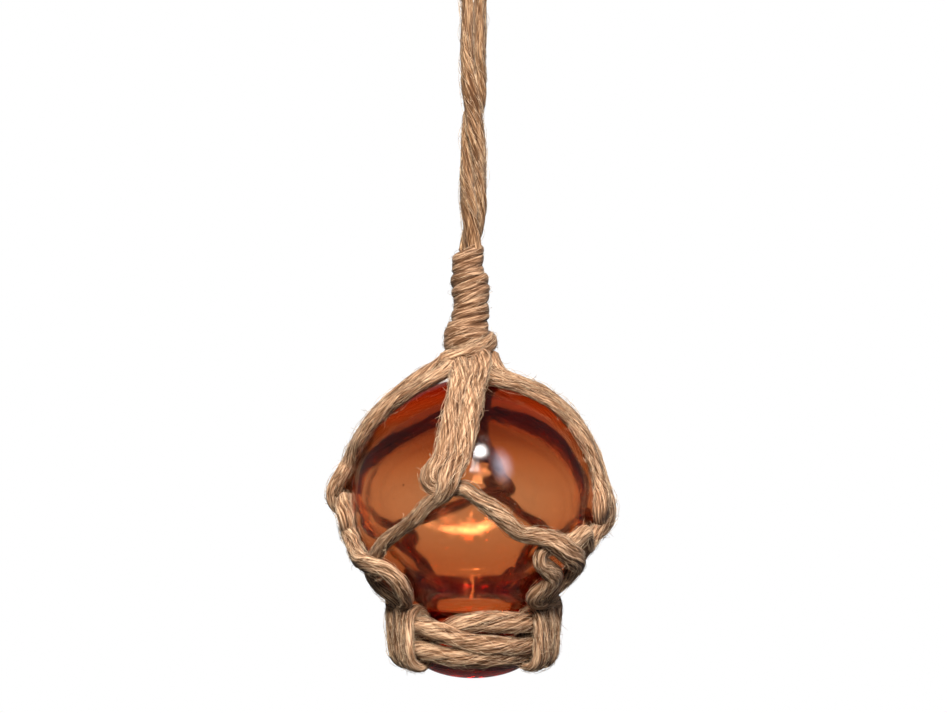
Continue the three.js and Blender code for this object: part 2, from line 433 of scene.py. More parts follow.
@dataclass
class Run:
    """A smooth, evenly stepped cord line made from stops, in millimetres."""

    points: np.ndarray
    outward: np.ndarray
    wide: np.ndarray
    thick: np.ndarray
    step: float

    @classmethod
    def through(cls, stops: Sequence[Stop]) -> "Run":
        """Draws a Catmull-Rom curve through the stops.

        Args:
            stops: the places, in order.

        Returns:
            The run.
        """
        rows = np.array([[*s.place, *s.outward, s.wide, s.thick] for s in stops])
        fine = catmull_rom(rows, CURVE_PARTS)
        steps = np.linalg.norm(np.diff(fine[:, :3], axis=0), axis=1)
        along = np.concatenate(([0.0], np.cumsum(steps)))
        count = int(round(along[-1] / RING_STEP)) + 1
        at = np.linspace(0.0, along[-1], count)
        even = np.stack([np.interp(at, along, column) for column in fine.T], axis=1)
        return cls(even[:, :3], even[:, 3:6], even[:, 6], even[:, 7], along[-1] / (count - 1))

    @property
    def length(self) -> float:
        """The run's length in millimetres."""
        return float(np.linalg.norm(np.diff(self.points, axis=0), axis=1).sum())

    def frames(self) -> tuple[np.ndarray, np.ndarray, np.ndarray]:
        """The forward, outward and sideways directions at every ring."""
        forward = unit(np.gradient(self.points, axis=0))
        out = self.outward - forward * np.sum(self.outward * forward, axis=1, keepdims=True)
        out = unit(out)
        return forward, out, np.cross(forward, out)


def catmull_rom(rows: np.ndarray, parts: int) -> np.ndarray:
    """Draws a smooth curve through rows of numbers.

    Args:
        rows: the places, each with whatever else changes along the curve.
        parts: steps between two rows.

    Returns:
        The curve's rows, first and last place included.
    """
    padded = np.vstack([2 * rows[0] - rows[1], rows, 2 * rows[-1] - rows[-2]])
    t = np.linspace(0.0, 1.0, parts, endpoint=False)[:, None]
    pieces = []
    for a, b, c, d in zip(padded, padded[1:], padded[2:], padded[3:]):
        square, cube = 2 * a - 5 * b + 4 * c - d, 3 * b - a - 3 * c + d
        pieces.append(0.5 * (2 * b + (c - a) * t + square * t**2 + cube * t**3))
    return np.vstack([*pieces, rows[-1][None]])


@dataclass
class Unevenness:
    """Seeded unevenness over an unrolled cord: along its length and round its section."""

    rng: np.random.Generator
    length: float
    along: np.ndarray

    def draw(self, spacing: float, columns: int, turn: np.ndarray) -> np.ndarray:
        """Draws a new grid and reads it all over the cord.

        Args:
            spacing: millimetres between two rows of the grid.
            columns: places round the section.
            turn: place round the section, in whole turns.

        Returns:
            Values from -1 to 1.
        """
        grid = self.rng.uniform(-1.0, 1.0, (int(self.length / spacing) + 4, columns))
        row = np.clip(self.along / spacing, 0, len(grid) - 2.001)
        low = row.astype(int)
        down = smooth(row - low)
        column = (turn % 1.0) * columns
        left = column.astype(int) % columns
        right = (left + 1) % columns
        over = smooth(column - np.floor(column))
        top = grid[low, left] * (1 - over) + grid[low, right] * over
        bottom = grid[low + 1, left] * (1 - over) + grid[low + 1, right] * over
        return top * (1 - down) + bottom * down


def tube_quads(rings: int, sides: int) -> np.ndarray:
    """The quads between rings of vertices, which are numbered ring by ring.

    Args:
        rings: how many rings.
        sides: vertices in each ring.

    Returns:
        The quads.
    """
    i = np.arange(rings - 1)[:, None] * sides
    j = np.arange(sides)
    k = (j + 1) % sides
    corners = (i + j, i + k, i + sides + k, i + sides + j)
    return np.stack([corner.ravel() for corner in corners], axis=1)


def closed_faces(rings: int, sides: int, mirrored: bool = False) -> np.ndarray:
    """The faces of a tube whose two ends each close on one more vertex.

    Args:
        rings: how many rings of vertices come before the two end vertices.
        sides: vertices in each ring.
        mirrored: whether the faces are wound the other way.

    Returns:
        Quads and triangles, with -1 for a triangle's fourth corner.
    """
    quads = tube_quads(rings, sides)
    j = np.arange(sides)
    k = (j + 1) % sides
    last = (rings - 1) * sides
    end = np.full(sides, rings * sides)
    none = np.full(sides, -1)
    if mirrored:
        caps = ((end, k, j, none), (end + 1, last + j, last + k, none))
    else:
        quads = quads[:, ::-1]
        caps = ((end, j, k, none), (end + 1, last + k, last + j, none))
    return np.vstack([quads, *(np.stack(cap, axis=1) for cap in caps)])


def link(name: str, data: bpy.types.ID) -> bpy.types.Object:
    """Puts a mesh, lamp or camera into the scene.

    Args:
        name: the object's name.
        data: the mesh, lamp or camera.

    Returns:
        The object.
    """
    made = bpy.data.objects.new(name, data)
    bpy.context.scene.collection.objects.link(made)
    return made


@dataclass
class MeshParts:
    """Vertices, faces and per-vertex values gathered for one piece."""

    places: list[np.ndarray] = field(default_factory=list)
    faces: list[np.ndarray] = field(default_factory=list)
    values: dict[str, list[np.ndarray]] = field(default_factory=dict)
    count: int = 0

    def add(self, places: np.ndarray, faces: np.ndarray, **values: np.ndarray) -> None:
        """Adds one closed shell.

        Args:
            places: its vertices in millimetres about the ball's centre.
            faces: its quads or triangles, with -1 for a triangle's fourth corner.
            **values: a number or a row of three for each vertex, the same ones in every shell.
        """
        self.places.append(places)
        self.faces.append(np.where(faces >= 0, faces + self.count, -1))
        for name, rows in values.items():
            self.values.setdefault(name, []).append(rows)
        self.count += len(places)

    def build(self, name: str, material: bpy.types.Material) -> bpy.types.Object:
        """Makes the Blender object.

        Args:
            name: the piece's name.
            material: its finish.

        Returns:
            The object, linked into the scene.
        """
        mesh = bpy.data.meshes.new(name)
        faces = [[int(i) for i in row if i >= 0] for row in np.vstack(self.faces)]
        mesh.from_pydata(to_row(np.vstack(self.places)).tolist(), [], faces)
        for label, rows in self.values.items():
            table = np.concatenate(rows)
            kind, key = ("FLOAT", "value") if table.ndim == 1 else ("FLOAT_VECTOR", "vector")
            held = mesh.attributes.new(label, kind, "POINT")
            held.data.foreach_set(key, table.ravel())
        mesh.polygons.foreach_set("use_smooth", np.ones(len(mesh.polygons), dtype=bool))
        mesh.validate()
        mesh.update()
        mesh.materials.append(material)
        return link(name, mesh)


@dataclass
class Surface:
    """A spun cord's surface, ring by ring."""

    places: np.ndarray
    forward: np.ndarray
    step: float


@dataclass(frozen=True)
class CordMaker:
    """Spins jute cord along a run: bundled fibres with a lay, lumps and thin places."""

    seed: int
    sides: int = 52
    turns_per_mm: float = 0.022
    wander: float = 0.06
    wander_mm: float = 8.0
    bundles: int = 7
    bundle_depth: float = 0.10
    bundle_mm: float = 9.0
    yarns: int = 19
    yarn_depth: float = 0.075
    yarn_mm: float = 6.0
    yarn_share: float = 0.85
    ridge_share: float = 0.42
    ridge_mean: float = 0.64
    fibre_depth: float = 0.03
    fibre_mm: float = 2.6
    lump: float = 0.07
    lumps: int = 3
    lump_mm: float = 4.0
    girth_share: float = 0.8
    girth_mm: float = 6.0
    strays: int = 9
    strayed: float = 0.045
    stray_mm: float = 5.0
    stray_per_mm: float = 0.035
    # Painted shade in the grooves: the ridge level where it ends, and how deep it lies in grooves and dips.
    groove_shade_top: float = 0.6
    groove_shade_share: float = 0.45
    dip_shade_share: float = 0.35
    end_share: float = 0.35
    end_taper: float = 1.2

    def spin(self, parts: MeshParts, run: Run, seed: int = 0) -> Surface:
        """Adds the cord's closed tube.

        Args:
            parts: where it goes.
            run: the line it follows.
            seed: sets this cord's own unevenness.

        Returns:
            Its surface, for fibres to stand on.
        """
        rng = np.random.default_rng([self.seed, seed])
        forward, out, side = run.frames()
        rings = len(run.points)
        whole = np.ones((rings, self.sides))
        along = (np.arange(rings) * run.step)[:, None] * whole
        angle = np.linspace(0.0, FULL_TURN, self.sides, endpoint=False) * whole
        round_it = angle / FULL_TURN
        uneven = Unevenness(rng, run.length, along)
        start = rng.uniform()
        drift = uneven.draw(self.wander_mm, 1, whole * 0) * self.wander
        turn = round_it - along * self.turns_per_mm + start + drift

        coarse = uneven.draw(self.bundle_mm, self.bundles, turn)
        strayed = turn + self.strayed * uneven.draw(self.stray_mm, self.strays, turn)
        yarn = uneven.draw(self.yarn_mm, self.yarns, turn)
        fibres = uneven.draw(self.fibre_mm, self.yarns * 2 - 1, turn)
        lumps = uneven.draw(self.lump_mm, self.lumps, round_it)
        girth = uneven.draw(self.girth_mm, 1, whole * 0)
        ridges = np.abs(np.sin(strayed * math.pi * self.yarns))
        scale = 1.0 + (
            self.bundle_depth * coarse
            + self.yarn_depth
            * (self.ridge_share * (ridges - self.ridge_mean) + self.yarn_share * yarn)
            + self.fibre_depth * fibres
            + self.lump * (lumps + self.girth_share * girth)
        )
        ends = np.minimum(along, along[-1] - along)
        scale *= np.clip(self.end_share + ends / self.end_taper, 0.0, 1.0)

        across = np.cos(angle) * scale * (run.wide / 2)[:, None]
        above = np.sin(angle) * scale * (run.thick / 2)[:, None]
        places = run.points[:, None, :] + side[:, None, :] * across[:, :, None]
        places = places + out[:, None, :] * above[:, :, None]
        # Painted shade: a mask, deepest in the grooves between yarns and the dips between bundles, that the
        # finish darkens.
        groove_shade = self.groove_shade_share * (self.groove_shade_top - ridges) / self.groove_shade_top
        groove_shade = groove_shade - self.groove_shade_share * yarn - self.dip_shade_share * coarse
        parts.add(
            np.vstack([places.reshape(-1, 3), run.points[[0, -1]]]),
            closed_faces(rings, self.sides),
            lay=self._fibre_way(run, turn, along, seed),
            cross=self._fibre_way(run, turn + along * self.stray_per_mm, along, seed),
            groove_shade=np.concatenate([np.clip(groove_shade, 0.0, 1.0).ravel(), np.zeros(2)]),
        )
        return Surface(places, forward, run.step)

    def _fibre_way(self, run: Run, turn: np.ndarray, along: np.ndarray, seed: int) -> np.ndarray:
        """Coordinates along fibres that lie at these turns round the cord.

        Args:
            run: the cord's line.
            turn: place round the section, in whole turns.
            along: millimetres along the cord.
            seed: moves one cord's fibres away from the next one's.

        Returns:
            Three coordinates in metres for each vertex, the two end ones included.
        """
        radius = 0.25 * (run.wide + run.thick)[:, None]
        a = turn * FULL_TURN
        start = CORD_APART * seed
        rows = np.stack([np.cos(a) * radius, np.sin(a) * radius, along + start], axis=-1)
        return np.vstack([rows.reshape(-1, 3), np.zeros((2, 3))]) * MM


@dataclass(frozen=True)
class FuzzMaker:
    """Loose fibres: some stand off the cord and curl, some lift off it and lie down again."""

    seed: int
    radius: float = 0.052
    radius_share: tuple[float, float] = (0.6, 1.15)
    tip_share: float = 0.45
    sides: int = 3
    standing_per_mm: float = 2.4
    standing_steps: int = 6
    reach: float = 2.9
    reach_share: tuple[float, float] = (0.25, 1.0)
    reach_power: float = 1.6
    forward_lean: tuple[float, float] = (0.5, 1.6)
    outward_lean: tuple[float, float] = (0.25, 1.1)
    lean_spread: float = 0.35
    curl: float = 2.4
    root_depth: float = 0.12
    lying_per_mm: float = 4.2
    lying_steps: int = 5
    span: tuple[float, float] = (3.0, 9.0)
    across: tuple[float, float] = (0.06, 0.12)
    lift: tuple[float, float] = (0.1, 0.9)
    lift_power: float = 2.2
    clear: float = 0.02
    tucked: float = 0.06

    def grow(self, parts: MeshParts, surface: Surface) -> None:
        """Adds fibres to a cord's surface.

        Args:
            parts: where they go.
            surface: the cord they grow on.
        """
        rng = np.random.default_rng(self.seed)
        length = len(surface.places) * surface.step
        kinds = ((self.standing_per_mm, self._standing), (self.lying_per_mm, self._lying))
        for per_mm, draw in kinds:
            for _ in range(int(length * per_mm)):
                self._strand(parts, draw(rng, surface), rng)

    def _standing(self, rng: np.random.Generator, surface: Surface) -> np.ndarray:
        """A fibre with one free end.

        Args:
            rng: the seeded source.
            surface: the cord it stands on.

        Returns:
            The places along it.
        """
        rings, sides = surface.places.shape[:2]
        i, j = int(rng.integers(2, rings - 2)), int(rng.integers(sides))
        root = surface.places[i, j]
        out = unit(root - surface.places[i].mean(axis=0))
        forward = surface.forward[i] * rng.choice([-1.0, 1.0])
        heading = forward * rng.uniform(*self.forward_lean) + out * rng.uniform(*self.outward_lean)
        heading = unit(heading + rng.normal(0, self.lean_spread, 3))
        reach = self.reach * rng.uniform(*self.reach_share) ** self.reach_power
        axis = unit(rng.normal(0, 1, 3))
        bend = rng.uniform(-1.0, 1.0) * self.curl / self.standing_steps
        points = [root - out * self.root_depth]
        for _ in range(self.standing_steps):
            points.append(points[-1] + heading * reach / self.standing_steps)
            heading = unit(heading + np.cross(axis, heading) * bend)
        return np.array(points)

    def _lying(self, rng: np.random.Generator, surface: Surface) -> np.ndarray:
        """A fibre that lifts off the surface between two rooted ends.

        Args:
            rng: the seeded source.
            surface: the cord it lies on.

        Returns:
            The places along it.
        """
        rings, sides = surface.places.shape[:2]
        span = int(rng.uniform(*self.span) / surface.step)
        i = int(rng.integers(1, max(2, rings - span - 2)))
        j = int(rng.integers(sides))
        turn = rng.normal(*self.across) * sides
        lift = rng.uniform(*self.lift) ** self.lift_power
        points = []
        for n in range(self.lying_steps + 1):
            share = n / self.lying_steps
            ring = min(rings - 1, i + int(span * share))
            place = surface.places[ring, int(j + turn * share) % sides]
            middle = surface.places[ring].mean(axis=0)
            tucked = self.tucked * (n in (0, self.lying_steps))
            rise = lift * math.sin(math.pi * share) + self.clear - tucked
            points.append(place + unit(place - middle) * rise)
        return np.array(points)

    def _strand(self, parts: MeshParts, points: np.ndarray, rng: np.random.Generator) -> None:
        """Adds one tapering tube.

        Args:
            parts: where it goes.
            points: the places along it.
            rng: the seeded source.
        """
        count = len(points)
        forward = unit(np.gradient(points, axis=0))
        lean = np.where(np.abs(forward[:, 2:3]) < 0.9, UP, np.array((1.0, 0.0, 0.0)))
        first = unit(np.cross(forward, lean))
        second = np.cross(forward, first)
        size = self.radius * rng.uniform(*self.radius_share)
        size = size * np.linspace(1.0, self.tip_share, count)[:, None]
        corners = []
        for n in range(self.sides):
            a = FULL_TURN * n / self.sides
            corners.append(points + (first * math.cos(a) + second * math.sin(a)) * size)
        last = self.sides * (count - 1)
        ends = np.array([[0, 2, 1, -1], [last, last + 1, last + 2, -1]])
        faces = np.vstack([tube_quads(count, self.sides), ends])
        parts.add(np.stack(corners, axis=1).reshape(-1, 3), faces)


class JuteWork:
    """A cord or yarn with its loose fibres, which stands for one piece of the CAD model."""

    node: str
    ending: str
    slot: Slot
    fuzz: FuzzMaker

    def spin(self, parts: MeshParts) -> Surface:
        """Spins the cord into parts, and gives its surface."""
        raise NotImplementedError

    def build(self, jute: bpy.types.Material, hair: bpy.types.Material) -> list[bpy.types.Object]:
        """Lays the cord, grows its loose fibres and hangs both on the root body in place of the CAD piece.

        Args:
            jute: the cord's finish.
            hair: the loose fibres' finish.

        Returns:
            The cord and its fibres.
        """
        parts, loose = MeshParts(), MeshParts()
        self.fuzz.grow(loose, self.spin(parts))
        cord = parts.build(f"{self.node}_{self.ending}", jute)
        fibres = loose.build(f"{self.node}_fibres", hair)
        for piece in (cord, fibres):
            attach(piece, "root")
        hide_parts(self.node)
        return [cord, fibres]


# ---- the glass ------------------------------------------------------------------------------


@dataclass
class GlassFloat:
    """The hollow ball with its sealed, stepped end underneath. Sizes in millimetres."""

    radius: float = BALL_RADIUS
    wall: float = 3.3
    hollow_top: float = 18.6
    hollow_bottom: float = 19.6
    well_depth: float = 7.0
    well_radius: float = 7.6
    foot_radius: float = 12.3
    foot_bottom: float = -36.8
    foot_crown: float = 5.4
    fillet: float = 2.5
    segments: int = 144
    wave: float = 0.10
    waves: int = 14
    waves_per_mm: tuple[float, float] = (0.12, 0.42)
    bubbles: int = 16
    bubble_size: tuple[float, float] = (0.08, 0.24)
    bubble_stretch: tuple[float, float] = (1.0, 1.5)
    bubble_skin: float = 0.9
    seed: int = 5

    def _outline(self) -> np.ndarray:
        """The outer profile from the bottom up, as radius and height."""
        across = self.foot_radius + self.fillet
        height = -math.sqrt((self.radius + self.fillet) ** 2 - across**2)
        ball_end = math.atan2(height, across)
        foot = self.foot_bottom + self.foot_crown
        side = np.linspace(foot, height, 8)[1:-1]
        return np.vstack(
            [
                arc((0.0, foot), (self.foot_radius, self.foot_crown), -math.pi / 2, 0.0, 26),
                np.stack([np.full(len(side), self.foot_radius), side], axis=1),
                arc((across, height), (self.fillet, self.fillet), math.pi, math.pi + ball_end, 8),
                arc((0.0, 0.0), (self.radius, self.radius), ball_end, math.pi / 2, 84)[1:],
            ]
        )

    def _hollow(self) -> np.ndarray:
        """The hollow's profile from the bottom up: thick above, with a well over the seal."""
        t = np.linspace(-math.pi / 2, math.pi / 2, 110)
        r = (self.radius - self.wall) * np.cos(t)
        well = self.well_depth / (1.0 + (r / self.well_radius) ** 6)
        z = np.where(t < 0, np.sin(t) * self.hollow_bottom - well, np.sin(t) * self.hollow_top)
        return np.stack([r, z], axis=1)

    def _turned(self, parts: MeshParts, outline: np.ndarray, wave: float, inside: bool) -> None:
        """Turns a profile about the axis into a closed skin, slightly out of true.

        Args:
            parts: where it goes.
            outline: radius and height rows from the bottom pole to the top pole.
            wave: how far it strays, in millimetres.
            inside: whether its faces look into a hollow.
        """
        rng = np.random.default_rng([self.seed, int(inside)])
        azimuth = np.linspace(0, FULL_TURN, self.segments, endpoint=False)
        r, z = (column[:, None] * np.ones(self.segments) for column in outline[1:-1].T)
        places = np.stack([r * np.sin(azimuth), -r * np.cos(azimuth), z], axis=-1)
        shift = np.zeros(r.shape)
        for _ in range(self.waves):
            way = unit(rng.normal(0, 1, 3)) * rng.uniform(*self.waves_per_mm)
            shift += np.sin(places @ way + rng.uniform(0, 6.3)) / self.waves
        places = places + unit(places) * (shift * wave * 2.5)[:, :, None]
        poles = [[0, 0, outline[0, 1]], [0, 0, outline[-1, 1]]]
        faces = closed_faces(len(r), self.segments, mirrored=not inside)
        parts.add(np.vstack([places.reshape(-1, 3), poles]), faces)

    def _bubbles(self, parts: MeshParts) -> None:
        """Adds small seeds of air in the wall.

        Args:
            parts: where they go.
        """
        rng = np.random.default_rng(self.seed + 40)
        rings, sides = 5, 8
        rise = np.linspace(-math.pi / 2, math.pi / 2, rings + 2)[1:-1, None]
        azimuth = np.linspace(0, FULL_TURN, sides, endpoint=False)
        flat = [np.cos(rise) * np.cos(azimuth), np.cos(rise) * np.sin(azimuth)]
        grid = np.stack([*flat, np.sin(rise) * np.ones(sides)], axis=-1).reshape(-1, 3)
        bubble = np.vstack([grid, [[0, 0, -1], [0, 0, 1]]])
        for _ in range(self.bubbles):
            way = unit(rng.normal(0, 1, 3))
            centre = way * (self.radius - rng.uniform(self.bubble_skin, self.wall - self.bubble_skin))
            size = rng.uniform(*self.bubble_size)
            long = np.array((1.0, 1.0, rng.uniform(*self.bubble_stretch)))
            parts.add(centre + bubble * size * long, closed_faces(rings, sides))

    def build(self, material: bpy.types.Material) -> list[bpy.types.Object]:
        """Args:
            material: the glass's finish.

        Returns:
            The one piece.
        """
        parts = MeshParts()
        self._turned(parts, self._outline(), self.wave * 0.5, inside=False)
        self._turned(parts, self._hollow(), self.wave * 2.0, inside=True)
        self._bubbles(parts)
        glass = parts.build("glass_float_ball", material)
        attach(glass, "root")
        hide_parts("glass_float")
        return [glass]


def arc(
    centre: tuple[float, float], radii: tuple[float, float], start: float, end: float, count: int
) -> np.ndarray:
    """Places along a round or flattened arc of a profile.

    Args:
        centre: the arc's middle, as radius and height.
        radii: its half width and half height.
        start: the direction of its first place, in radians.
        end: the direction of its last place, in radians.
        count: how many places.

    Returns:
        The places, as radius and height.
    """
    a = np.linspace(start, end, count)
    return np.stack([centre[0] + radii[0] * np.cos(a), centre[1] + radii[1] * np.sin(a)], axis=1)


# ---- the base ring --------------------------------------------------------------------------

RING_RADIUS = 15.3
RING_MIDDLE = -27.6


@dataclass
class BaseRing(JuteWork):
    """The cord wound nearly three times round the sealed end. Sizes in millimetres."""

    node: str = "base_ring"
    ending: str = "cord"
    slot: Slot = Slot.NET
    fuzz: FuzzMaker = FuzzMaker(seed=22, reach=2.0)
    maker: CordMaker = CordMaker(seed=21, turns_per_mm=0.03)
    wide: float = 3.4 * 1.12
    thick: float = 3.4 * 0.9
    # Azimuth past the start, height and radius of each place on the winding.
    winding: tuple[tuple[float, float, float], ...] = (
        (150, -26.4, 14.2), (200, -25.6, 15.0), (255, -25.4, 15.3), (295, -26.2, 14.9),
        (322, -26.9, 13.9), (338, -25.7, 14.2), (351, -24.3, 15.1), (368, -23.7, 15.4),
        (392, -24.1, 15.5), (425, -24.5, 15.3), (480, -24.4, 15.3), (540, -24.4, 15.3),
        (600, -24.5, 15.3), (645, -24.5, 15.4), (675, -24.8, 15.8), (692, -25.7, 16.1),
        (708, -27.0, 16.0), (724, -28.1, 15.9), (742, -28.8, 15.7), (768, -29.1, 15.4),
        (810, -28.4, 15.3), (870, -28.0, 15.3), (940, -28.2, 15.3), (1000, -28.8, 15.4),
        (1035, -29.7, 15.5), (1058, -30.6, 15.3), (1080, -31.2, 15.1), (1104, -31.1, 14.9),
        (1150, -30.0, 14.4),
    )

    def spin(self, parts: MeshParts) -> Surface:
        """Winds the cord.

        Args:
            parts: where it goes.

        Returns:
            Its surface.
        """
        stops = []
        for azimuth, height, radius in self.winding:
            place = around(azimuth, radius, height)
            stops.append(Stop(place, around(azimuth, 1.0, 0.0), self.wide, self.thick))
        return self.maker.spin(parts, Run.through(stops))


# ---- the net --------------------------------------------------------------------------------

ON_GLASS = BALL_RADIUS + 1.6


@dataclass(frozen=True)
class Knot:
    """Where a knot sits on the ball, and how far its upper cord stands off the lower one."""

    azimuth: float
    latitude: float
    relief: float = 1.0

    def near(self, across: float, up: float, distance: float) -> np.ndarray:
        """A place near the knot.

        Args:
            across: millimetres to the right along the ball.
            up: millimetres upwards along the ball.
            distance: millimetres from the ball's centre.

        Returns:
            The place.
        """
        azimuth = self.azimuth + math.degrees(across / BALL_RADIUS)
        latitude = self.latitude + math.degrees(up / BALL_RADIUS)
        return over_ball(azimuth, latitude, distance)


UPPER_KNOTS = (Knot(-9, 7), Knot(82, -8, relief=0.4), Knot(171, 1), Knot(266, -1, relief=0.85))
LOWER_KNOTS = (Knot(42, -21), Knot(127, -26), Knot(227, -24), Knot(305, -24))


@dataclass(frozen=True)
class Hook:
    """Where a net cord's pair reaches the base ring, and which way it goes round it again."""

    azimuth: float
    step: float


HOOKS = (Hook(61, -12), Hook(128, 12), Hook(229, 12), Hook(299, 13))

Route = tuple[tuple[float, ...], ...]

# Down each upper knot's leg from the neck: latitude, azimuth, distance from the centre and
# half of the way between its two strands.
LEGS: tuple[Route, ...] = (
    (
        (83.5, -4, 31.9, 1.7), (81.3, -4, 30.3, 1.85), (76.0, -4, 29.3, 1.85), (69.0, -5, 28.3, 1.85),
        (60.5, -6, 27.6, 1.85), (50.0, -7, 27.0, 1.8), (38.0, -8, 26.8, 1.8),
    ),
    (
        (83.5, 42, 31.4, 1.5), (80.0, 38, 28.8, 1.5), (75.0, 39, 27.1, 1.6), (69.5, 46, 26.8, 1.6),
        (63.0, 58, 26.8, 1.7), (53.0, 71, 26.8, 1.8), (39.0, 78, 26.8, 1.8),
    ),
    (
        (83.5, 176, 31.9, 1.7), (81.3, 178, 30.0, 1.85), (76.0, 181, 28.9, 1.85), (69.0, 182, 28.1, 1.85),
        (60.5, 181, 27.5, 1.85), (50.0, 178, 27.0, 1.85), (38.0, 174, 26.8, 1.85),
    ),
    (
        (83.5, 296, 31.9, 1.5), (81.0, 298, 30.2, 1.8), (75.0, 303, 28.8, 2.3), (66.0, 304, 28.1, 2.9),
        (57.0, 298, 27.8, 2.3), (46.0, 288, 27.4, 1.9), (34.0, 279, 27.0, 1.85),
    ),
)
# Width and thickness of a strand at each place down a leg.
LEG_SECTIONS = ((3.6, 2.8), (4.0, 3.0), (4.2, 3.1), (4.3, 3.0), (4.2, 2.8), (4.0, 2.8), (4.0, 2.7))
KNOT_TOP = 8.2

# Across, up, height over the glass-lying cord, width and thickness through each knot.
UPPER_UNDER: Route = (
    (-2.0, 8.2, 0.0, 3.9, 2.8), (-2.5, 5.9, 0.3, 3.9, 3.0), (-3.6, 4.0, 1.0, 3.9, 3.2),
    (-4.2, 2.1, 1.0, 3.7, 3.2), (-3.1, 0.6, 0.3, 3.3, 3.0), (-0.6, 0.6, 0.0, 3.1, 2.9),
    (2.2, 0.5, 0.0, 3.2, 3.0), (4.6, -1.2, 0.0, 3.2, 3.1), (7.0, -3.0, 0.0, 3.2, 3.1),
)
UPPER_OVER: Route = (
    (1.6, 8.2, 0.0, 3.9, 2.8), (1.2, 6.1, 0.7, 4.1, 2.9), (0.5, 4.0, 1.9, 4.5, 3.1),
    (-0.1, 2.1, 2.8, 4.7, 3.1), (-0.5, 0.4, 2.7, 4.4, 3.2), (-1.5, -0.9, 1.7, 3.6, 3.1),
    (-3.1, -1.8, 0.6, 3.0, 3.0), (-5.0, -3.0, 0.1, 2.7, 2.8), (-7.4, -5.2, 0.0, 2.7, 2.7),
)
LOWER_OVER: Route = (
    (-9.6, 4.4, 0.0, 3.2, 3.1), (-6.6, 4.0, 0.3, 3.4, 3.1), (-3.4, 3.2, 1.2, 3.9, 3.1),
    (-0.6, 1.6, 2.5, 4.4, 3.1), (2.2, 0.2, 2.9, 4.5, 3.1), (4.4, -1.6, 2.0, 4.2, 3.2),
    (5.2, -4.2, 1.0, 4.0, 3.2), (4.0, -6.8, 0.5, 3.9, 3.1), (2.6, -9.6, 0.3, 3.8, 2.9),
)
LOWER_UNDER: Route = (
    (7.6, 3.6, 0.1, 3.2, 3.1), (4.6, 2.6, 0.0, 3.2, 3.0), (1.6, 1.6, 0.0, 3.2, 3.0),
    (-1.8, 1.4, 0.0, 3.1, 3.0), (-4.2, 0.6, 0.2, 2.9, 2.8), (-4.3, -1.3, 0.6, 3.2, 2.9),
    (-2.2, -2.6, 0.9, 4.0, 3.0), (-0.2, -4.2, 1.1, 4.8, 3.0), (-0.4, -6.6, 0.9, 4.8, 3.0),
    (-1.4, -9.6, 0.5, 4.2, 2.9),
)
CROSSED_OVER: Route = (
    (-11.0, 4.8, 0.0, 3.6, 3.1), (-7.6, 2.7, 0.4, 4.0, 3.1), (-4.8, 1.2, 1.2, 4.4, 3.1),
    (-1.7, 0.3, 2.1, 4.5, 3.1), (1.5, -0.3, 2.1, 4.0, 3.1), (4.3, -1.6, 1.2, 3.2, 3.0),
    (5.7, -3.9, 0.6, 2.8, 2.9), (5.4, -6.5, 0.4, 3.0, 2.9), (3.9, -9.4, 0.3, 3.4, 2.9),
)
CROSSED_UNDER: Route = (
    (5.2, 3.6, 0.0, 2.9, 2.9), (2.9, 1.9, 0.0, 3.0, 3.0), (0.3, 0.2, 0.0, 3.2, 3.0),
    (-1.9, -1.5, 0.3, 3.6, 3.1), (-2.5, -3.8, 0.7, 4.2, 3.1), (-1.4, -6.3, 0.8, 4.4, 3.0),
    (-0.2, -9.4, 0.5, 4.2, 2.9),
)
# The routes that the two strands take at each lower knot, left strand first.
LOWER_ROUTES = ((LOWER_OVER, LOWER_UNDER), (CROSSED_OVER, CROSSED_UNDER)) * 2

# Round the base ring: radius and height past the ring's middle, share of the hook's step,
# sideways place, width and thickness.
RING_ROUTE: Route = (
    (2.7, 7.2, 0.05, 1.85, 3.7, 2.9), (2.9, 3.6, 0.00, 1.45, 3.0, 2.6),
    (2.9, -1.2, 0.00, 1.15, 2.5, 2.3), (2.4, -4.2, 0.05, 1.05, 2.3, 2.1),
    (0.2, -5.6, 0.15, 1.0, 2.2, 1.8), (-1.9, -4.4, 0.25, 1.0, 2.2, 1.4),
    (-2.3, 0.0, 0.40, 1.0, 2.2, 1.2), (-1.9, 4.4, 0.70, 1.0, 2.2, 1.4),
    (0.3, 5.9, 0.88, 0.9, 1.9, 1.8), (2.6, 4.8, 0.97, 0.85, 1.9, 2.0),
    (3.2, 0.5, 1.00, 0.85, 1.9, 2.0), (2.8, -3.8, 1.00, 0.9, 2.0, 2.0),
    (0.8, -5.8, 1.00, 0.9, 2.1, 1.9), (-1.7, -4.9, 1.00, 0.9, 2.2, 1.4),
    (-2.3, -1.0, 1.00, 0.9, 2.2, 1.2), (-2.3, 1.6, 1.00, 0.6, 2.0, 1.2),
)
# Radius and height past the ring's middle, width and thickness of a net cord's fold.
FOLD = (-2.3, 2.2, 2.0, 1.2)

# Azimuth, height and distance from the axis of the strand that is led round the neck
# before it goes down as the left leg.
NECK_WRAP = (
    (150, 34.2, 4.6), (110, 33.8, 5.0), (70, 33.0, 5.2), (30, 31.8, 5.6), (-10, 30.6, 6.2), (-45, 29.6, 7.0),
)
WRAP_SECTION = (3.3, 2.0)
NECK_LEAN = np.array((-1.2, 0.0, 0.0))
WRAPPED_LEG = 3
# How many of a leg's places lie on the neck and not yet on the ball.
NECK_ROWS = 2
LONGEST_GAP = 7.0


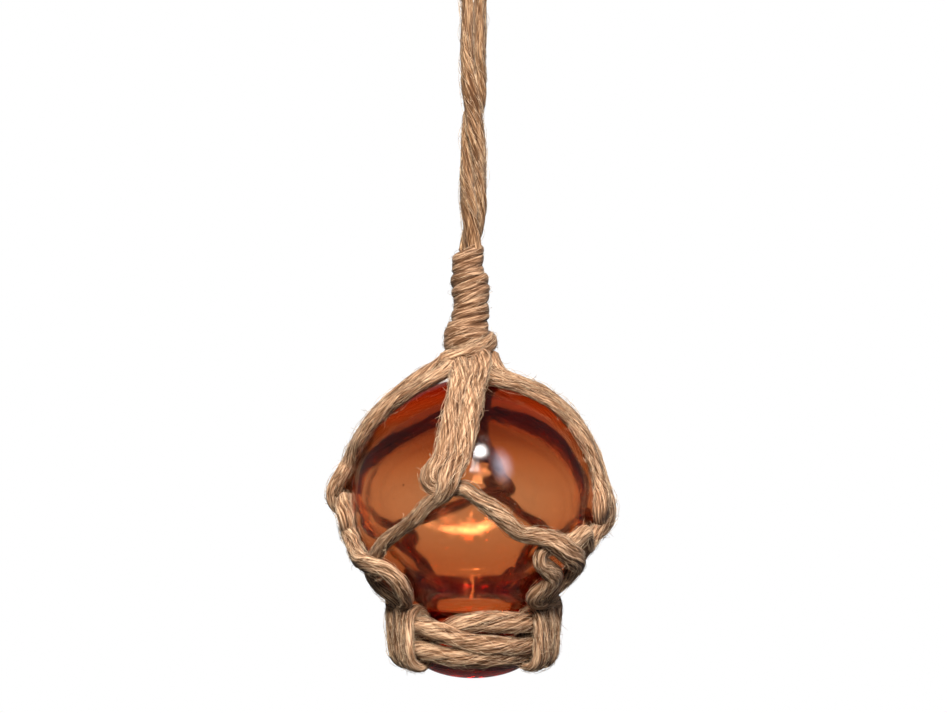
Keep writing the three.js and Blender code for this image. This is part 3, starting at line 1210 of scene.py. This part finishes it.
@dataclass
class NetCord(JuteWork):
    """One net cord: down from the neck, round the base ring and back up to the neck."""

    index: int
    ending: str = "jute"
    slot: Slot = Slot.NET

    def __post_init__(self) -> None:
        """Numbers the cord and draws its own seeds."""
        self.number = self.index + 1
        self.node = f"net_cord_{self.number}"
        self.fuzz = FuzzMaker(seed=40 + self.number)

    def _leg(self, knot: Knot, side: Side) -> list[Stop]:
        """A strand of the pair from the neck to its upper knot.

        Args:
            knot: the upper knot.
            side: the side of the pair that it lies on.

        Returns:
            Its stops.
        """
        leg = LEGS[UPPER_KNOTS.index(knot)]
        middle = [over_ball(azimuth, latitude, distance) for latitude, azimuth, distance, _ in leg]
        middle.append(knot.near(0, KNOT_TOP, ON_GLASS))
        stops = []
        for n, ((_, azimuth, _, apart), section) in enumerate(zip(leg, LEG_SECTIONS)):
            point = middle[n]
            if n < NECK_ROWS:
                radius = math.hypot(point[0], point[1])
                place = around(azimuth, radius, point[2], side.value * apart)
                outward = around(azimuth, 1.0, 0.4 * n)
            else:
                sideways = unit(np.cross(point, middle[n + 1] - middle[n - 1]))
                place = point + sideways * side.value * apart
                outward = point
            stops.append(Stop(place, unit(outward), *section))
        if knot is UPPER_KNOTS[WRAPPED_LEG] and side is Side.RIGHT:
            lead = []
            for azimuth, height, radius in NECK_WRAP:
                place = around(azimuth, radius, height) + NECK_LEAN
                lead.append(Stop(place, around(azimuth, 1.0, 0.3), *WRAP_SECTION))
            stops = lead + stops[NECK_ROWS:]
        return stops

    def _through(self, knot: Knot, route: Route) -> list[Stop]:
        """Leads a strand through a knot.

        Args:
            knot: the knot.
            route: the strand's route through it.

        Returns:
            The strand's stops.
        """
        stops = []
        for across, up, over, wide, thick in route:
            place = knot.near(across, up, ON_GLASS + over * knot.relief)
            stops.append(Stop(place, unit(place), wide, thick))
        return stops

    def _between(self, start: Stop, end: Stop) -> list[Stop]:
        """Leads a strand over the glass from one knot to the next.

        Args:
            start: the last stop of one route.
            end: the first stop of the next.

        Returns:
            The stops between them.
        """
        count = math.ceil(float(np.linalg.norm(start.place - end.place)) / LONGEST_GAP)
        stops = []
        for n in range(1, count):
            share = n / count
            place = unit(start.place + (end.place - start.place) * share) * ON_GLASS
            wide = start.wide + (end.wide - start.wide) * share
            thick = start.thick + (end.thick - start.thick) * share
            stops.append(Stop(place, unit(place), wide, thick))
        return stops

    def _round_ring(self, side: Side) -> list[Stop]:
        """A strand round the base ring, over it and round once more, up to the fold.

        Args:
            side: the side of the pair that it lies on.

        Returns:
            Its stops.
        """
        hook = HOOKS[self.index]
        stops = []
        for out, up, share, apart, wide, thick in RING_ROUTE:
            azimuth = hook.azimuth + hook.step * share
            place = around(azimuth, RING_RADIUS + out, RING_MIDDLE + up, side.value * apart)
            stops.append(Stop(place, unit(around(azimuth, out, 0.6 * up)), wide, thick))
        return stops

    def _strand(self, upper: Knot, routes: tuple[Route, Route], side: Side) -> list[Stop]:
        """One strand from the neck down to the base ring.

        Args:
            upper: the upper knot it goes through.
            routes: its routes through the upper and the lower knot.
            side: the side of the leg that it lies on. It goes round the ring on the other side.

        Returns:
            Its stops.
        """
        stops = self._leg(upper, side)
        for knot, route in zip((upper, LOWER_KNOTS[self.index]), routes):
            places = self._through(knot, route)
            stops += self._between(stops[-1], places[0]) + places
        return stops + self._round_ring(Side(-side.value))

    def stops(self) -> list[Stop]:
        """The whole cord's stops."""
        over, under = LOWER_ROUTES[self.index]
        left, right = UPPER_KNOTS[self.index], UPPER_KNOTS[(self.index + 1) % len(UPPER_KNOTS)]
        down = self._strand(left, (UPPER_UNDER, over), Side.LEFT)
        up = self._strand(right, (UPPER_OVER, under), Side.RIGHT)
        hook = HOOKS[self.index]
        azimuth = hook.azimuth + hook.step
        out, rise, wide, thick = FOLD
        end = around(azimuth, RING_RADIUS + out, RING_MIDDLE + rise)
        return down + [Stop(end, around(azimuth, -1.0, 0.0), wide, thick)] + up[::-1]

    def spin(self, parts: MeshParts) -> Surface:
        """Lays the cord."""
        maker = CordMaker(seed=30 + self.number)
        return maker.spin(parts, Run.through(self.stops()), self.number)


# ---- the whipping ---------------------------------------------------------------------------


@dataclass
class Whipping(JuteWork):
    """The yarn wound round the gathered cord ends. Sizes in millimetres."""

    node: str = "whipping"
    ending: str = "yarn"
    slot: Slot = Slot.WHIPPING
    fuzz: FuzzMaker = FuzzMaker(seed=63, reach=1.3, standing_per_mm=0.8, lying_per_mm=2.0)
    maker: CordMaker = CordMaker(
        seed=62, sides=36, turns_per_mm=0.02, bundles=4, yarns=11, yarn_depth=0.11, lump=0.11
    )
    core_maker: CordMaker = CordMaker(seed=64, turns_per_mm=0.004, bundles=12)
    bottom: float = 31.4
    top: float = 52.6
    turns: int = 10
    stops_per_turn: int = 12
    start: float = 150.0
    yarn: float = 2.5
    yarn_wide: float = 1.08
    yarn_thick: float = 0.58
    yarn_sunk: float = 0.42
    tilt: tuple[float, float] = (-0.35, 0.95)
    spread: tuple[float, float] = (-0.45, 0.45)
    swell: tuple[float, float] = (-0.22, 0.3)
    core_inset: float = 1.35
    seed: int = 61
    # The neck leans a little: its middle's sideways place and its outer radius at each height.
    heights: tuple[float, ...] = (31.2, 33.3, 35.4, 37.4, 39.5, 41.6, 43.6, 45.7, 47.8, 51.9)
    sideways: tuple[float, ...] = (-1.7, -1.8, -1.4, -0.8, -0.5, -0.2, -0.5, -0.8, -1.2, -1.1)
    radii: tuple[float, ...] = (5.0, 4.8, 4.8, 4.3, 4.2, 4.2, 4.3, 4.1, 3.8, 3.7)

    def _middle(self, height: float) -> tuple[float, float]:
        """The neck's sideways place and outer radius at a height above the ball's centre."""
        x = np.interp(height, self.heights, self.sideways)
        return float(x), float(np.interp(height, self.heights, self.radii))

    def spin(self, parts: MeshParts) -> Surface:
        """Winds the yarn, each turn a little out of line with the next.

        Args:
            parts: where it and its core go.

        Returns:
            The yarn's surface.
        """
        rng = np.random.default_rng(self.seed)
        turns = np.arange(self.turns + 2)
        tilt, spread, swell = (
            rng.uniform(*ends, len(turns)) for ends in (self.tilt, self.spread, self.swell)
        )
        steps = self.turns * self.stops_per_turn
        stops = []
        for n in range(steps + 1):
            share = n / steps
            turn = share * self.turns
            azimuth = self.start + 360 * turn
            height = self.bottom + 1.0 + (self.top - self.bottom - 2.0) * share
            height += float(np.interp(turn, turns, spread))
            height += float(np.interp(turn, turns, tilt)) * math.sin(math.radians(azimuth))
            x, radius = self._middle(height)
            radius += float(np.interp(turn, turns, swell)) - self.yarn_sunk * self.yarn
            place = around(azimuth, radius, height) + np.array((x, 0.0, 0.0))
            wide = self.yarn_wide + 0.22 * math.sin(1.7 * turn) + 0.14 * math.sin(3.9 * turn)
            outward = around(azimuth, 1.0, 0.0)
            stops.append(Stop(place, outward, self.yarn * wide, self.yarn * self.yarn_thick))
        surface = self.maker.spin(parts, Run.through(stops))
        self._core(parts)
        return surface

    def _core(self, parts: MeshParts) -> None:
        """Adds the pressed bundle of cord ends inside the winding.

        Args:
            parts: where it goes.
        """
        stops = []
        for height in np.linspace(self.bottom - 1.0, self.top - 0.6, 8):
            x, radius = self._middle(float(height))
            size = 2 * (radius - self.core_inset)
            stops.append(Stop(np.array((x, 0.0, height)), np.array((0.0, -1.0, 0.0)), size, size))
        self.core_maker.spin(parts, Run.through(stops))


# ---- the hanging cord -----------------------------------------------------------------------


@dataclass
class HangingCord(JuteWork):
    """The cord folded in two that the ball hangs from. Sizes in millimetres."""

    node: str = "hanging_cord"
    ending: str = "jute"
    slot: Slot = Slot.HANGING
    fuzz: FuzzMaker = FuzzMaker(seed=72, reach=1.5, standing_per_mm=0.9)
    maker: CordMaker = CordMaker(
        seed=71, turns_per_mm=0.012, bundle_depth=0.13, yarn_depth=0.1, lump=0.08
    )
    diameter: float = 3.1
    wide_share: float = 1.24
    thick_share: float = 0.86
    start: float = 50.9
    spacing: float = 1.3
    lean: float = -0.8
    lean_height: float = 12.0
    twist_top: float = 93.0
    twist_steps: int = 12
    quarter_turn: float = 12.5
    loop_start: float = 104.0
    loop_radius: float = 6.0
    loop_top: float = 130.0
    # Sideways place and height of each leg between the twist and the loop's round top.
    opening: Route = ((1.3, 98.5), (1.4, 104.0), (2.5, 109.5), (4.5, 115.5), (5.8, 121.0))
    # How many rings of the tube lie between two places of a path along it.
    path_step: int = 4

    def _leg(self, side: Side) -> list[np.ndarray]:
        """One leg, from the whipping up to the side of the loop.

        Args:
            side: which leg.

        Returns:
            The places along it.
        """
        points = []
        for n in range(self.twist_steps + 1):
            height = self.start + (self.twist_top - self.start) * n / self.twist_steps
            azimuth = side.value * 90 + 90 * (self.twist_top - height) / self.quarter_turn
            lean = self.lean * max(0.0, 1.0 - (height - self.start) / self.lean_height)
            points.append(around(azimuth, self.spacing, height) + np.array((lean, 0.0, 0.0)))
        points += [np.array((side.value * x, 0.0, height)) for x, height in self.opening]
        return points

    def run(self) -> Run:
        """The cord's line: up one leg, round the loop and down the other."""
        middle = self.loop_top - self.loop_radius
        points = self._leg(Side.LEFT)
        for turned in (150, 120, 90, 60, 30):
            a = math.radians(turned)
            x = self.loop_radius * math.cos(a)
            points.append(np.array((x, 0.0, middle + self.loop_radius * math.sin(a))))
        points += self._leg(Side.RIGHT)[::-1]
        wide, thick = self.diameter * self.wide_share, self.diameter * self.thick_share
        stops = []
        for point in points:
            level = min(point[2], middle) if point[2] > self.loop_start else point[2]
            stops.append(Stop(point, unit(point - np.array((0.0, 0.0, level))), wide, thick))
        return Run.through(stops)

    def spin(self, parts: MeshParts) -> Surface:
        """Lays the cord."""
        return self.maker.spin(parts, self.run())

    def build(self, jute: bpy.types.Material, hair: bpy.types.Material) -> list[bpy.types.Object]:
        """Args:
            jute: the cord's finish.
            hair: the loose fibres' finish.

        Returns:
            The cord and its fibres.
        """
        pieces = super().build(jute, hair)
        run = self.run()
        return pieces


# ---- studio ---------------------------------------------------------------------------------


@dataclass(frozen=True)
class Glow:
    """A bright patch of the room that shows only through the glass. Sizes in degrees."""

    azimuth: float
    elevation: float
    reach: float
    strength: float

    def add(self, bench: NodeBench, way: Socket, shades: Socket) -> Socket:
        """Adds the patch to the room's brightness.

        Args:
            bench: the backdrop's node bench.
            way: the direction from the room's middle.
            shades: the brightness so far.

        Returns:
            The brightness with the patch.
        """
        inputs = {0: way, 1: over_ball(self.azimuth, self.elevation, 1.0).tolist()}
        facing = bench.add("ShaderNodeVectorMath", inputs, operation="DOT_PRODUCT")
        edge = math.cos(math.radians(self.reach))
        share = bench.spread(facing.outputs["Value"], edge, 1.0, 0.0, 1.0)
        return bench.mix(share, shades, (self.strength,) * 3)


GLOWS = tuple(
    Glow(azimuth + across, elevation, reach, strength)
    for azimuth in range(0, 360, 45)
    for across, elevation, reach, strength in ((0.2, -9.9, 0.9, 6.0), (2.4, -9.3, 1.3, 1.5))
)


@dataclass(frozen=True)
class Lamp:
    """A soft lamp that looks at the ball. One with a fall fades towards its rim, as a softbox
    does; one without shows in no reflection. Angles in degrees, sizes in metres, power in watts.
    """

    name: str
    azimuth: float
    elevation: float
    size: tuple[float, float]
    power: float
    colour: Colour
    fall: float | None = None
    distance: float = 0.8

    def _fade(self, data: bpy.types.Light) -> None:
        """Lets the light fade towards the lamp's rim.

        Args:
            data: the lamp's data.
        """
        bench = NodeBench(data, "ShaderNodeOutputLight")
        place = bench.add("ShaderNodeNewGeometry").outputs["Parametric"]
        inputs = {0: place, 1: (0.5, 0.5, 0.0)}
        reach = bench.add("ShaderNodeVectorMath", inputs, operation="DISTANCE").outputs["Value"]
        fade = bench.spread(reach, 0.0, 0.5, 1.0, 0.0, interpolation_type="SMOOTHSTEP")
        fallen = bench.work("POWER", fade, self.fall)
        strength = bench.work("MULTIPLY", fallen, 1.0 + self.fall)
        bench.shade("ShaderNodeEmission", {"Strength": strength})

    def hang(self) -> None:
        """Hangs the lamp."""
        data = bpy.data.lights.new(self.name, "AREA")
        data.shape = "RECTANGLE"
        data.size, data.size_y = self.size
        data.energy = self.power
        data.color = self.colour
        made = link(self.name, data)
        way = over_ball(self.azimuth, self.elevation, 1.0)
        made.location = BALL_CENTRE + way * self.distance
        made.rotation_euler = Vector(-way).to_track_quat("-Z", "Y").to_euler()
        if self.fall is None:
            made.visible_glossy = False
        else:
            self._fade(data)


LAMPS = (
    Lamp("key", 8, 49, (0.36, 0.36), 8.0, (1.0, 0.98, 0.95), fall=3.0),
    Lamp("side_panel", 31, 34, (0.40, 0.60), 3.4, (0.86, 0.84, 1.0), fall=1.4),
    Lamp("front", -5, 37, (0.22, 0.20), 9.5, (1.0, 0.97, 0.93)),
    Lamp("overhead", -4, 60, (0.30, 0.22), 3.0, (1.0, 0.97, 0.93)),
)


@dataclass
class Studio:
    """Camera and the plain pale surroundings. Sizes in metres."""

    distance: float = 0.55
    camera_height: float = -0.0986
    lens: float = 100.4
    sensor: float = 36.0
    floor: float = -0.42
    floor_reach: float = 6.0
    room_radius: float = 4.2
    room_top: float = 4.0
    room_sides: int = 48
    backdrop_radius: float = 6.5
    white: float = 1.0
    room_light: float = 0.10
    # Brightness from straight down (0) to straight up (1), seen only through the glass.
    backdrop: Route = (
        (0.0, 0.44), (0.20, 0.46), (0.34, 0.62), (0.62, 0.62), (0.72, 0.30), (1.0, 0.22),
    )

    def camera(self) -> None:
        """Sets the camera level, straight in front."""
        data = bpy.data.cameras.new("camera")
        data.lens = self.lens
        data.sensor_width = self.sensor
        data.clip_start, data.clip_end = 0.01, 50.0
        made = link("camera", data)
        made.location = (0.0, -self.distance, self.camera_height)
        made.rotation_euler = (math.radians(90), 0.0, 0.0)
        bpy.context.scene.camera = made

    def surroundings(self) -> None:
        """Sets the dim room light, the light seen through the glass, and a white room."""
        world = bpy.data.worlds.new("dim_room")
        world.use_nodes = True
        background = world.node_tree.nodes["Background"]
        background.inputs["Color"].default_value = (1.0, 0.99, 0.97, 1.0)
        background.inputs["Strength"].default_value = self.room_light
        bpy.context.scene.world = world

        hidden = ("diffuse", "glossy", "volume_scatter", "shadow")
        shining = self._shining_backdrop()
        self._stand("backdrop", self._round_backdrop(), shining, ("camera", *hidden))
        white = new_bench("white_room").shade("ShaderNodeEmission", {"Strength": self.white})
        for name, mesh in (("floor", self._floor()), ("room", self._room())):
            self._stand(name, mesh, white, ("transmission", *hidden))

    def _stand(
        self, name: str, mesh: bpy.types.Mesh, material: bpy.types.Material, hidden: Sequence[str]
    ) -> None:
        """Stands a part of the surroundings, which only some rays meet.

        Args:
            name: its name.
            mesh: its shape.
            material: its finish.
            hidden: the kinds of ray that pass through it.
        """
        mesh.materials.append(material)
        made = link(name, mesh)
        for rays in hidden:
            setattr(made, f"visible_{rays}", False)

    def _shining_backdrop(self) -> bpy.types.Material:
        """The brightness that shows through the glass, by direction."""
        bench = new_bench("pale_backdrop")
        way = bench.add("ShaderNodeVectorMath", {0: bench.place()}, operation="NORMALIZE")
        split = bench.add("ShaderNodeSeparateXYZ", {"Vector": way.outputs["Vector"]})
        grey = [(at, (level,) * 3) for at, level in self.backdrop]
        shades = bench.ramp(bench.spread(split.outputs["Z"], -1.0, 1.0, 0.0, 1.0), grey)
        for glow in GLOWS:
            shades = glow.add(bench, way.outputs["Vector"], shades)
        return bench.shade("ShaderNodeEmission", {"Color": shades})

    def _round_backdrop(self) -> bpy.types.Mesh:
        """A round backdrop on every side."""
        mesh = bpy.data.meshes.new("backdrop")
        shell = bmesh.new()
        bmesh.ops.create_uvsphere(shell, u_segments=32, v_segments=24, radius=self.backdrop_radius)
        shell.to_mesh(mesh)
        shell.free()
        return mesh

    def _floor(self) -> bpy.types.Mesh:
        """A wide floor well below the ball."""
        s = self.floor_reach
        corners = [(x, y, self.floor) for x, y in ((-s, -s), (s, -s), (s, s), (-s, s))]
        mesh = bpy.data.meshes.new("floor")
        mesh.from_pydata(corners, [], [(0, 1, 2, 3)])
        return mesh

    def _room(self) -> bpy.types.Mesh:
        """A round white room about the floor."""
        n, reach = self.room_sides, self.room_radius
        places = []
        for height in (self.floor, self.room_top):
            for i in range(n):
                a = FULL_TURN * i / n
                places.append((reach * math.cos(a), reach * math.sin(a), height))
        faces = tube_quads(2, n).tolist() + [list(range(n, 2 * n))]
        mesh = bpy.data.meshes.new("room")
        mesh.from_pydata(places, [], faces)
        return mesh

    def picture(self) -> None:
        """Keeps the colours plain and the glass clean."""
        scene = bpy.context.scene
        scene.view_settings.view_transform = "Standard"
        scene.cycles.use_denoising = True
        scene.cycles.max_bounces = 14
        scene.cycles.transmission_bounces = 12
        scene.cycles.glossy_bounces = 6
        scene.cycles.diffuse_bounces = 3


def main() -> None:
    """Builds the float and its studio in order."""
    logging.basicConfig(level=logging.INFO, format="%(name)s: %(message)s")
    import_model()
    studio = Studio()
    studio.camera()

    net = JuteFinish("net_jute")
    # The whipping and hanging finishes are darker copies of the net's: partly a browner jute, partly painted
    # shade for the light that falls off up the cord, away from the ball.
    whipping = JuteFinish("whipping_jute", middle=(0.235, 0.122, 0.062), light=(0.60, 0.390, 0.240))
    hanging = JuteFinish("hanging_jute", middle=(0.215, 0.110, 0.050), light=(0.54, 0.340, 0.190))
    net_jute, whipping_jute, hanging_jute = net.make(), whipping.make(), hanging.make()
    hair = HairFinish().make()
    pieces = HangingCord().build(hanging_jute, hair)
    pieces += Whipping().build(whipping_jute, hair)
    for index in range(len(LOWER_KNOTS)):
        pieces += NetCord(index).build(net_jute, hair)
    pieces += BaseRing().build(net_jute, hair)
    pieces += GlassFloat().build(AmberGlass().make())
    for piece in pieces:
        LOG.info("%s: %d faces", piece.name, len(piece.data.polygons))

    for lamp in LAMPS:
        lamp.hang()
    studio.surroundings()
    studio.picture()


if __name__ == "__main__":
    main()
